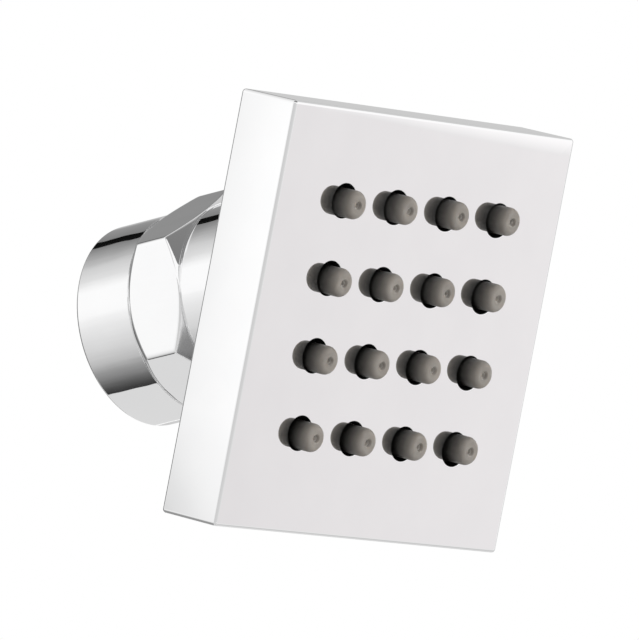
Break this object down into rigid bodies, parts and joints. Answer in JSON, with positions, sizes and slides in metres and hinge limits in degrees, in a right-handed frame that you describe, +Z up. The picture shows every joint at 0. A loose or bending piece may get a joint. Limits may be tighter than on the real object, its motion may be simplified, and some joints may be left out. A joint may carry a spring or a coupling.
{
  "type": "shower body jet",
  "caption": "Square chromed shower body jet: a thin spray head with soft nozzles on a ball swivel, held by a hexagon nut with a female half-inch inlet thread.",
  "frame": {"origin": "centre of the inlet's mouth, on the plane of the wall", "axes": "the fitting's axis runs out of the wall along -Y, +X is to the right seen from in front, +Z is up"},
  "size_m": [0.05, 0.048, 0.0495],
  "materials": {
    "chrome": "polished plating",
    "silicone": "satin moulded",
    "black_rubber": "matt moulded",
    "brass": "bright turned",
    "stainless_steel": "bright",
    "seat_plastic": "smooth natural",
    "plate_plastic": "smooth moulded"
  },
  "bodies": {
    "fitting": {"swivel_nut": "chrome", "filter_washer": "black_rubber", "filter_gauze": "stainless_steel", "gland_ring": "brass", "rear_seal": "black_rubber"},
    "seat": {"front_seat_ring": "seat_plastic"},
    "ball": {"ball_stem": "chrome", "stem_washer": "black_rubber"},
    "head": {"rear_cover": "chrome", "chamber_seal": "black_rubber", "spray_plate": "plate_plastic", "nozzle_mat": "silicone", "face_shell": "chrome", "cover_screw_1": "stainless_steel", "cover_screw_2": "stainless_steel", "cover_screw_3": "stainless_steel", "cover_screw_4": "stainless_steel"}
  },
  "joints": [
    {"name": "swivel_turn", "type": "hinge", "parent": "fitting", "child": "seat", "pos_m": [0, -0.0188, 0], "axis": [0, -1, 0], "continuous": true},
    {"name": "swivel_tilt", "type": "hinge", "parent": "seat", "child": "ball", "pos_m": [0, -0.0188, 0], "axis": [1, 0, 0], "range_deg": [-43.2, 0.8]},
    {"name": "head_turn", "type": "hinge", "parent": "ball", "child": "head", "pos_m": [0, -0.0188, 0], "axis": [0, -0.9323, -0.3616], "continuous": true}
  ]
}
